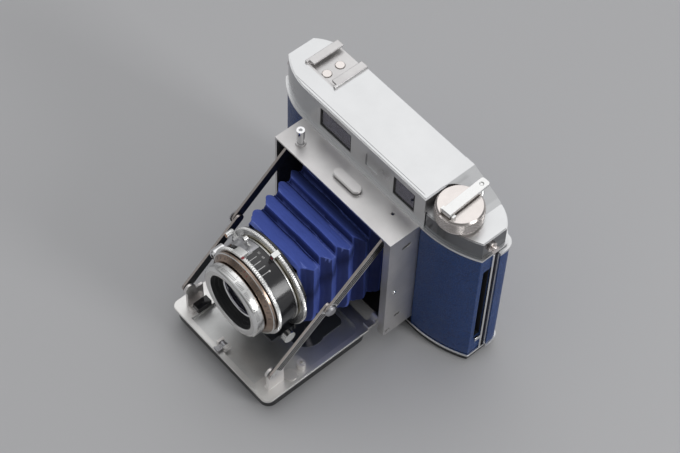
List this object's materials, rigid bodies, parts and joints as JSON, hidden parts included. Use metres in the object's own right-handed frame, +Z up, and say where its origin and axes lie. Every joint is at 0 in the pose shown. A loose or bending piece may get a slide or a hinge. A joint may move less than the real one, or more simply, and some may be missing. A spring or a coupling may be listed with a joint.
{
  "type": "folding instant-film camera",
  "caption": "Folding film camera with a drop bed on hinged struts, cloth bellows, ringed lens and shutter, crank film drive, accessory shoe and a tripod socket.",
  "frame": {"origin": "mouth of the tripod socket, in the underside of the base, below the lens axis", "axes": "+X towards the crank end, +Y out of the back, the lens looks along -Y, +Z up"},
  "size_m": [0.1402, 0.1181, 0.1105],
  "materials": {
    "black_gloss": "glossy black",
    "black_lacquer": "semi-gloss black",
    "black_paint": "matt black",
    "box_satin": "fine bead-blasted satin",
    "brass": "aged brass",
    "bright": "polished chrome plate",
    "bronze": "brown anodised",
    "cloth_blue": "matt bellows cloth, bright blue",
    "dark_plate": "satin grey-black",
    "glass": "coated",
    "leather_blue": "fine pebble grain, dark blue",
    "pack_plastic": "matt",
    "pan": "brushed",
    "roller": "matt",
    "satin": "satin chrome plate",
    "steel": "ground",
    "warm_satin": "satin, slightly warm",
    "window_glass": "clear"
  },
  "bodies": {
    "camera_body": {"body_casting": "black_paint", "casting_plates": "black_paint", "body_leather": "leather_blue", "exit_trim": "bright", "base_cover": "black_gloss", "base_ledge": "bright", "tripod_bush": "brass", "seam_trim": "bright", "top_cover": "satin", "finder_glass": "window_glass", "finder_frames": "black_paint", "eyepiece": "black_paint", "accessory_shoe": "bright", "shoe_rivets": "warm_satin", "strap_lugs": "warm_satin", "front_box": "box_satin", "box_lining": "black_paint", "box_studs": "bright", "film_gate": "black_paint", "film_pack": "pack_plastic", "door_hinge": "satin", "roller_block": "dark_plate", "button_collars": "satin", "bellows": "cloth_blue"},
    "lens": {"focus_ring": "bright", "front_lens": "glass"},
    "speed_dial": {"speed_ring": "bright"},
    "aperture_dial": {"aperture_ring": "bright"},
    "cocking": {"cocking_lever": "bright"},
    "release_arm": {"release_lever": "bright"},
    "standard": {"standard_plate": "black_lacquer", "standard_bracket": "brass", "shutter_drum": "black_lacquer", "drum_band": "brass", "scale_cone": "bronze", "rear_lens": "glass", "iris_leaves": "black_paint", "sync_socket": "bright"},
    "strut_upper_r": {"strut_upper_r": "bright"},
    "strut_upper_l": {"strut_upper_l": "bright"},
    "strut_lower_r": {"strut_lower_r": "bright"},
    "strut_lower_l": {"strut_lower_l": "bright"},
    "bed": {"bed_pan": "pan", "bed_lobes": "dark_plate", "bed_cover": "black_gloss", "strut_feet": "warm_satin", "bed_fittings": "bright"},
    "bed_catch": {"bed_latch": "steel"},
    "knob": {"advance_knob": "warm_satin", "drive_shaft": "steel", "crank_pivot": "warm_satin"},
    "crank": {"crank_bar": "warm_satin"},
    "grip": {"crank_grip": "warm_satin"},
    "pinch": {"pinch_roller": "roller"},
    "release_button": {"release_pin": "bright"},
    "bed_release": {"bed_button": "satin"},
    "door": {"back_door": "bright", "door_leather": "leather_blue", "pressure_plate": "black_paint"},
    "door_catch": {"door_latch": "satin"}
  },
  "joints": [
    {"name": "bed_fold", "type": "hinge", "parent": "camera_body", "child": "bed", "pos_m": [0, -0.029, 0.0144], "axis": [-1, 0, 0], "range_deg": [0, 90]},
    {"name": "lens_fold", "type": "hinge", "parent": "bed", "child": "standard", "pos_m": [0, -0.0573, 0.0484], "axis": [-1, 0, 0], "range_deg": [-90, 0], "deforming": ["bellows"]},
    {"name": "strut_upper_r_turn", "type": "hinge", "parent": "camera_body", "child": "strut_upper_r", "pos_m": [0.0335, -0.0265, 0.0785], "axis": [-1, 0, 0], "range_deg": [-53.94, 0]},
    {"name": "strut_lower_r_turn", "type": "hinge", "parent": "bed", "child": "strut_lower_r", "pos_m": [0.0335, -0.0915, 0.026], "axis": [-1, 0, 0], "range_deg": [0, 48.62]},
    {"name": "strut_upper_l_turn", "type": "hinge", "parent": "camera_body", "child": "strut_upper_l", "pos_m": [-0.0335, -0.0265, 0.0785], "axis": [-1, 0, 0], "range_deg": [-53.94, 0]},
    {"name": "strut_lower_l_turn", "type": "hinge", "parent": "bed", "child": "strut_lower_l", "pos_m": [-0.0335, -0.0915, 0.026], "axis": [-1, 0, 0], "range_deg": [0, 48.62]},
    {"name": "bed_catch_flex", "type": "hinge", "parent": "bed", "child": "bed_catch", "pos_m": [-0.0015, -0.0942, 0.0141], "axis": [-1, 0, 0], "range_deg": [0, 8], "stiffness_Nm_per_rad": 0.02},
    {"name": "focus_turn", "type": "hinge", "parent": "standard", "child": "lens", "pos_m": [0, -0.087, 0.0484], "axis": [0, -1, 0], "range_deg": [-135, 135]},
    {"name": "speed_turn", "type": "hinge", "parent": "standard", "child": "speed_dial", "pos_m": [0, -0.0798, 0.0484], "axis": [0, -1, 0], "range_deg": [-70, 55]},
    {"name": "aperture_turn", "type": "hinge", "parent": "standard", "child": "aperture_dial", "pos_m": [0, -0.0674, 0.0484], "axis": [0, -1, 0], "range_deg": [-25, 40]},
    {"name": "cocking_turn", "type": "hinge", "parent": "standard", "child": "cocking", "pos_m": [0, -0.0712, 0.0484], "axis": [0, 1, 0], "range_deg": [0, 16]},
    {"name": "release_arm_turn", "type": "hinge", "parent": "standard", "child": "release_arm", "pos_m": [0, -0.0728, 0.0484], "axis": [0, -1, 0], "range_deg": [0, 10], "stiffness_Nm_per_rad": 0.01},
    {"name": "knob_spin", "type": "hinge", "parent": "camera_body", "child": "knob", "pos_m": [0.055, -0.0039, 0.098], "axis": [0, 0, 1], "range_deg": [-215, 0]},
    {"name": "pinch_spin", "type": "hinge", "parent": "camera_body", "child": "pinch", "pos_m": [0.055, 0.0012, 0.05], "axis": [0, 0, 1], "range_deg": [0, 215]},
    {"name": "crank_fold", "type": "hinge", "parent": "knob", "child": "crank", "pos_m": [0.05541, -0.01169, 0.10825], "axis": [0.9986, 0.0523, 0], "range_deg": [0, 115]},
    {"name": "grip_spin", "type": "hinge", "parent": "crank", "child": "grip", "pos_m": [0.05431, 0.00918, 0.106], "axis": [0, 0, 1], "continuous": true},
    {"name": "release_press", "type": "slide", "parent": "camera_body", "child": "release_button", "axis": [0, 0, -1], "range_m": [0, 0.0024], "stiffness_N_per_m": 600},
    {"name": "bed_button_press", "type": "slide", "parent": "camera_body", "child": "bed_release", "axis": [0, 0, -1], "range_m": [0, 0.0008], "stiffness_N_per_m": 1500},
    {"name": "door_swing", "type": "hinge", "parent": "camera_body", "child": "door", "pos_m": [-0.061, 0.0024, 0.046], "axis": [0, 0, 1], "range_deg": [0, 105]},
    {"name": "door_catch_slide", "type": "slide", "parent": "door", "child": "door_catch", "axis": [0, 0, 1], "range_m": [0, 0.004]}
  ],
  "couplings": [
    {"joint": "lens_fold", "follows": "bed_fold", "ratio": -1},
    {"joint": "strut_upper_r_turn", "follows": "bed_fold", "ratio": -0.59934},
    {"joint": "strut_lower_r_turn", "follows": "bed_fold", "ratio": 0.54018},
    {"joint": "strut_upper_l_turn", "follows": "bed_fold", "ratio": -0.59934},
    {"joint": "strut_lower_l_turn", "follows": "bed_fold", "ratio": 0.54018},
    {"joint": "pinch_spin", "follows": "knob_spin", "ratio": -1}
  ]
}
